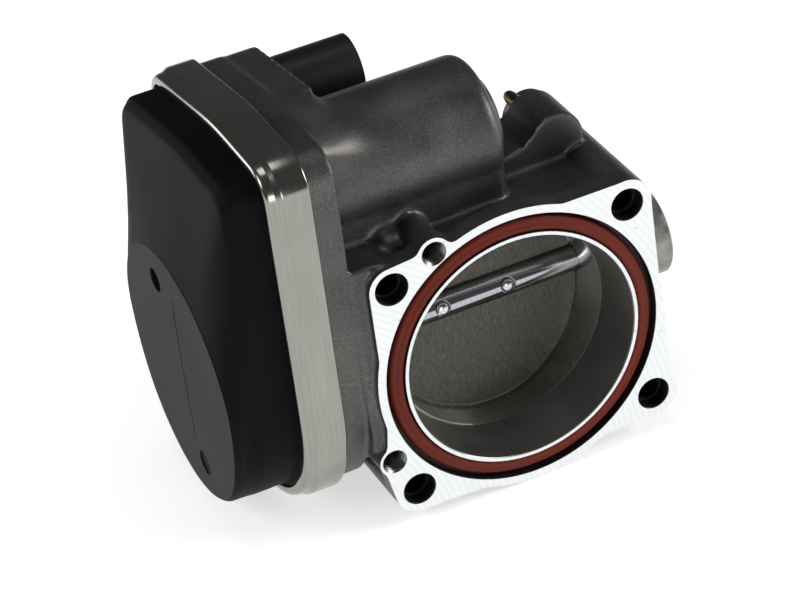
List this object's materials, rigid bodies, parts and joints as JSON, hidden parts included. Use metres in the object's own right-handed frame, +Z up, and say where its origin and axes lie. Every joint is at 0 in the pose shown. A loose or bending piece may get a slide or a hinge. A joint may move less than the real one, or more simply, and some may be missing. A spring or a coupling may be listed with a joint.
{
  "type": "electronic throttle body",
  "caption": "Motor-driven butterfly valve in a cast aluminium body: machined flange with a seal ring, clamped plastic gear cover, round motor housing and round electrical socket.",
  "frame": {"origin": "on the bore axis, in the machined face of the manifold flange", "axes": "-Y out of the flange face along the bore, +X along the throttle shaft away from the gear chamber, +Z up towards the motor"},
  "size_m": [0.17, 0.1035, 0.1474],
  "materials": {
    "cast_aluminium": "as-cast, sand-textured die casting with machined faces",
    "seal_rubber": "matte moulded fluoro rubber",
    "ground_steel": "centreless-ground bright steel",
    "brushed_plate": "coated brass sheet with a straight brushed grain",
    "screw_steel": "bright zinc plate",
    "bearing_steel": "hardened and polished",
    "black_rubber": "matte moulded",
    "plated_steel": "satin zinc plate",
    "gear_plastic": "moulded acetal",
    "magnet": "sintered ferrite",
    "spring_steel": "oil-tempered wire",
    "black_plastic": "moulded glass-filled",
    "bronze": "sintered bronze",
    "lamination_steel": "stacked laminations",
    "copper": "bare copper",
    "carbon": "pressed carbon",
    "circuit_board": "solder mask",
    "chip_plastic": "moulded epoxy",
    "connector_plastic": "moulded",
    "tinned_pins": "tin plate",
    "cover_plastic": "fine moulded grain",
    "band_steel": "pressed and polished stainless steel",
    "brass_pin": "dull brass"
  },
  "bodies": {
    "body": {"housing": "cast_aluminium", "flange_seal": "seal_rubber", "drive_side_bearing_cup": "bearing_steel", "drive_side_needles": "bearing_steel", "idle_side_bearing_cup": "bearing_steel", "idle_side_needles": "bearing_steel", "drive_side_shaft_seal": "black_rubber", "idle_side_shaft_seal": "black_rubber", "bearing_cap": "plated_steel", "return_spring": "spring_steel", "idler_pin": "ground_steel", "idler_clip": "spring_steel", "motor_can": "plated_steel", "motor_magnets": "magnet", "motor_end_plate": "black_plastic", "motor_screws": "screw_steel", "motor_front_bush": "bronze", "motor_rear_bush": "bronze", "motor_brushes": "carbon", "motor_spring_washer": "spring_steel", "sensor_board": "circuit_board", "sensor_chips": "chip_plastic", "connector_shell": "connector_plastic", "connector_pins": "tinned_pins", "connector_seal": "black_rubber", "contact_carrier": "black_plastic", "motor_leads": "copper", "cover_gasket": "black_rubber", "gear_cover": "cover_plastic", "retaining_band": "band_steel", "vent_nipple": "brass_pin"},
    "throttle": {"throttle_shaft": "ground_steel", "throttle_plate": "brushed_plate", "plate_screws": "screw_steel", "throttle_gear": "gear_plastic", "gear_driver": "screw_steel", "gear_retainer": "spring_steel", "sensor_magnet": "magnet"},
    "idler": {"idler_gear": "gear_plastic"},
    "motor_rotor": {"motor_shaft": "ground_steel", "armature_core": "lamination_steel", "armature_windings": "copper", "commutator": "copper", "motor_pinion": "bronze"}
  },
  "joints": [
    {"name": "throttle_turn", "type": "hinge", "parent": "body", "child": "throttle", "pos_m": [0, 0.04, 0], "axis": [-1, 0, 0], "range_deg": [-7, 78], "stiffness_Nm_per_rad": 0.05},
    {"name": "idler_turn", "type": "hinge", "parent": "body", "child": "idler", "pos_m": [0, 0.04898, 0.03692], "axis": [-1, 0, 0], "range_deg": [-295, 30]},
    {"name": "rotor_turn", "type": "hinge", "parent": "body", "child": "motor_rotor", "pos_m": [0, 0.04, 0.0645], "axis": [-1, 0, 0], "range_deg": [-104, 1125]}
  ],
  "couplings": [
    {"joint": "idler_turn", "follows": "throttle_turn", "ratio": -3.75},
    {"joint": "rotor_turn", "follows": "throttle_turn", "ratio": 14.375}
  ]
}
